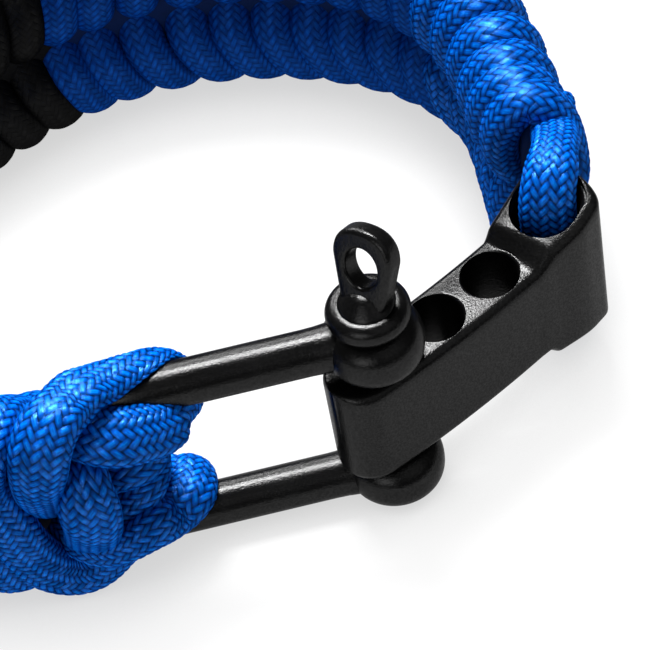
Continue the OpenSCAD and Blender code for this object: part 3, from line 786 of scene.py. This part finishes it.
# the pin: threaded shank, round collar, neck and flat eye
prof = [(1.2, -10.9), (1.6, -10.9)] + [(2.0, z) for z in np.arange(-10.5, -5.0, 0.0875)]
prof += [(2.0, z) for z in np.arange(-4.5, 10.6, 1.0)] + [(2.0, 11.1), (2.35, 11.14)]
CR, MR, CZ = 7.15 / 2 - 1.1, 1.1, 12.24
prof += corner(CR, CZ, MR, -86, 92, 25)
prof += [(2.44, 13.0), (2.42, 13.2), (2.34, 13.38), (2.2, 13.54), (1.9, 13.8), (1.6, 14.05), (1.3, 14.3), (1.0, 14.5), (0.5, 14.6)]
n = 96
f = np.linspace(0, 2 * np.pi, n, endpoint=False)
P = []
for r, z in prof:
    row = []
    for t in f:
        q = r
        if -10.6 < z < -5.6 and r == 2.0:
            w = (z / 0.7 + t / (2 * np.pi)) % 1.0
            q = 2.0 - 0.34 * min(1, 2.6 * abs(w - 0.5)) * min(1, (-5.6 - z) / 0.6) * min(1, 0.35 + (z + 10.6) / 0.5)
        row.append((q * math.cos(t), q * math.sin(t), z))
    P.append(row)
stem = grid(np.array(P))

TAB_T, TAB_TURN, TAB_TILT, TAB_SIDE = 1.95, -43.0, 19.0, -5.0
HOLE_Z, HOLE_R, HOLE_E = 16.85, 1.55, 0.3


def tab_edge(a):
    """Distance from the hole's middle to the flat eye's outline in direction a (degrees from sideways)."""
    c, s_ = math.cos(math.radians(a)), math.sin(math.radians(a))
    lo, hi = 0.0, 9.0
    for _ in range(40):
        mid = (lo + hi) / 2
        x, z = abs(mid * c), HOLE_Z + mid * s_
        inside = (x / 2.85) ** 2.3 + (max(0.0, z - 17.6) / 2.75) ** 2.3 <= 1 and z > 12.9 and x <= 2.0 + (2.85 - 2.0) * min(1, (z - 12.9) / 4.7)
        lo, hi = (mid, hi) if inside else (lo, mid)
    return lo


ang = np.linspace(0, 360, 120, endpoint=False)
rad = np.array([tab_edge(a) for a in ang])
c, s_ = np.cos(np.radians(ang)), np.sin(np.radians(ang))
for _ in range(2):
    rad = (np.roll(rad, 1) + 2 * rad + np.roll(rad, -1)) / 4
O = np.stack([rad * c, rad * s_], 1)
H = np.stack([HOLE_R * c, (HOLE_R + HOLE_E) * s_], 1)


def out_dir(Q):
    d = np.roll(Q, -1, axis=0) - np.roll(Q, 1, axis=0)
    return unit(np.stack([d[:, 1], -d[:, 0]], 1))


nO, nH = out_dir(O), out_dir(H)
hb, rb, rh = TAB_T / 2, 0.5, 0.3
ringp = []
for a in np.linspace(0, 90, 7):
    k = math.radians(a)
    ringp.append((O - nO * rb * (1 - math.cos(k)), hb - rb + rb * math.sin(k)))
for a in np.linspace(90, 0, 6):
    k = math.radians(a)
    ringp.append((H + nH * rh * (1 - math.cos(k)), hb - rh + rh * math.sin(k)))
ringp += [(q, -z) for q, z in ringp[::-1]]
P = np.array([np.stack([q[:, 0], np.full(len(q), z), q[:, 1] + HOLE_Z], 1) for q, z in ringp])
v, faces = grid(P, wrap_rows=True)
v = v - [0, 0, 13.0]
tt, ts, tr = math.radians(TAB_TILT), math.radians(TAB_SIDE), math.radians(TAB_TURN)
v = np.stack([v[:, 0] * math.cos(ts) + v[:, 2] * math.sin(ts), v[:, 1], -v[:, 0] * math.sin(ts) + v[:, 2] * math.cos(ts)], 1)
v = np.stack([v[:, 0], v[:, 1] * math.cos(tt) + v[:, 2] * math.sin(tt), -v[:, 1] * math.sin(tt) + v[:, 2] * math.cos(tt)], 1)
v = np.stack([v[:, 0] * math.cos(tr) - v[:, 1] * math.sin(tr), v[:, 0] * math.sin(tr) + v[:, 1] * math.cos(tr), v[:, 2] + 13.0], 1)
v, faces = join([stem, (v, faces)])
pin = mesh_object("pin_smooth", v, faces, metal, 40.0)
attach(pin, "pin")
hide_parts("shackle_pin")

# ---------------------------------------------------------------- stage, light, camera

me = bpy.data.meshes.new("floor")
me.from_pydata([(-3, -3, 0), (3, -3, 0), (3, 3, 0), (-3, 3, 0)], [], [(0, 1, 2, 3)])
floor = bpy.data.objects.new("floor", me)
bpy.context.scene.collection.objects.link(floor)
fm, nt = nodes_of("white_floor")
g = Net(nt)
d = g.node("ShaderNodeBsdfPrincipled")
d.inputs["Base Color"].default_value = (0.085, 0.085, 0.085, 1)
d.inputs["Roughness"].default_value = 1.0
d.inputs["Specular IOR Level"].default_value = 0.0
d.inputs["Emission Color"].default_value = (1, 1, 1, 1)
# painted contact shadow: the floor's even glow is dimmed by ambient occlusion near the objects
painted_contact_shadow = g.node("ShaderNodeAmbientOcclusion", samples=12)
painted_contact_shadow.inputs["Distance"].default_value = 0.012
nt.links.new(g.remap(painted_contact_shadow.outputs["AO"], 0.25, 0.95, 0.64, 0.945), d.inputs["Emission Strength"])
out = g.node("ShaderNodeOutputMaterial")
nt.links.new(d.outputs[0], out.inputs[0])
me.materials.append(fm)
floor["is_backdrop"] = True

world = bpy.data.worlds.new("studio")
bpy.context.scene.world = world
world.use_nodes = True
world.node_tree.nodes["Background"].inputs[0].default_value = (1, 1, 1, 1)
world.node_tree.nodes["Background"].inputs[1].default_value = 0.12


def area(name, loc, target, size, power):
    l = bpy.data.lights.new(name, "AREA")
    l.shape = "RECTANGLE"
    l.size, l.size_y = size
    l.energy = power
    o = bpy.data.objects.new(name, l)
    bpy.context.scene.collection.objects.link(o)
    o.location = loc
    o.rotation_euler = (Vector(target) - Vector(loc)).to_track_quat("-Z", "Y").to_euler()
    o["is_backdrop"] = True
    return o


area("key", (0.0, 0.17, 0.40), (0, -0.01, 0.01), (0.17, 0.10), 4.9)
area("fill", (0.22, -0.25, 0.40), (0, -0.01, 0.01), (0.4, 0.4), 0.15)
area("rim", (-0.11, 0.39, 0.27), (0.01, -0.02, 0.01), (0.30, 0.07), 2.2)
area("front", (-0.16, -0.30, 0.22), (-0.01, -0.03, 0.01), (0.2, 0.2), 0.3)

cam = bpy.data.cameras.new("camera")
cam.sensor_width = 36
cam.lens = 177.39
cam.clip_start = 0.01
cam.clip_end = 20
co = bpy.data.objects.new("camera", cam)
bpy.context.scene.collection.objects.link(co)
phi, rho = math.radians(50.87), math.radians(-11.45)
right, up = np.array([1.0, 0, 0]), np.array([0, math.sin(phi), math.cos(phi)])
fwd = np.array([0, math.cos(phi), -math.sin(phi)])
r = math.cos(rho) * right + math.sin(rho) * up
u = -math.sin(rho) * right + math.cos(rho) * up
m = Matrix(((r[0], u[0], -fwd[0], 0.0153417), (r[1], u[1], -fwd[1], -0.1900751), (r[2], u[2], -fwd[2], 0.2254856), (0, 0, 0, 1)))
co.matrix_world = m
bpy.context.scene.camera = co
bpy.context.scene.view_settings.view_transform = "Standard"

bounds_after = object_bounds()
plain = lambda b: [[float(x) for x in v] for v in b]
{"cad": plain(bounds_before), "visual": plain(bounds_after)}
